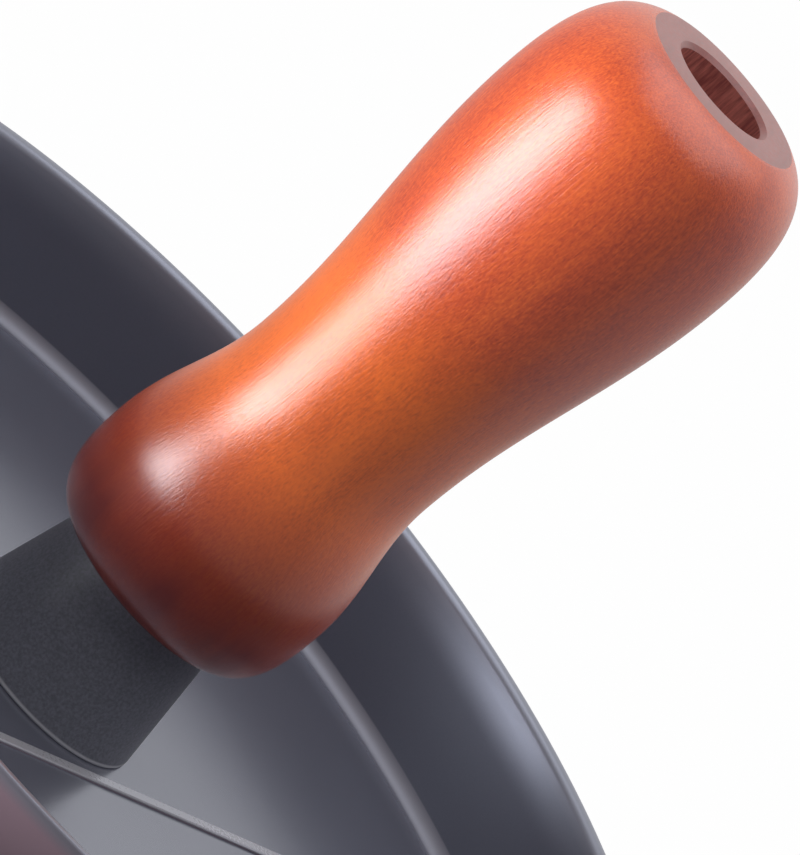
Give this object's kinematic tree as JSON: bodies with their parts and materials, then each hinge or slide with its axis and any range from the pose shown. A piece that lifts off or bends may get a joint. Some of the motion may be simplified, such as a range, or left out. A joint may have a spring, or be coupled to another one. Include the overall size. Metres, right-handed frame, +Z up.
{
  "type": "burger press",
  "caption": "Round burger press: a mould with a stop ledge and a dish-shaped plunger that slides in it, on a conical post with a turned wooden handle.",
  "frame": {"origin": "where the press axis meets the table, at the bottom centre of the mould's foot ring", "axes": "+Z up along the press axis, from the mould through the post to the handle; the part is round, and X is to the right and +Y away from the camera in the picture's view"},
  "size_m": [0.1272, 0.1272, 0.0965],
  "materials": {
    "coated_metal": "semi-gloss dark grey non-stick coating",
    "coated_post": "satin slate grey coating",
    "wood": "turned hardwood, reddish brown stain under gloss lacquer, bare inside the hole",
    "steel": "bright zinc-plated steel"
  },
  "bodies": {
    "mould": {"mould": "coated_metal"},
    "plunger": {"plunger_dish": "coated_metal", "post": "coated_post", "handle": "wood", "handle_screw": "steel", "plate_screw": "steel", "washer": "steel", "spring_washer": "steel"}
  },
  "joints": [
    {"name": "press_slide", "type": "slide", "parent": "mould", "child": "plunger", "axis": [0, 0, 1], "range_m": [0, 0.05]}
  ]
}
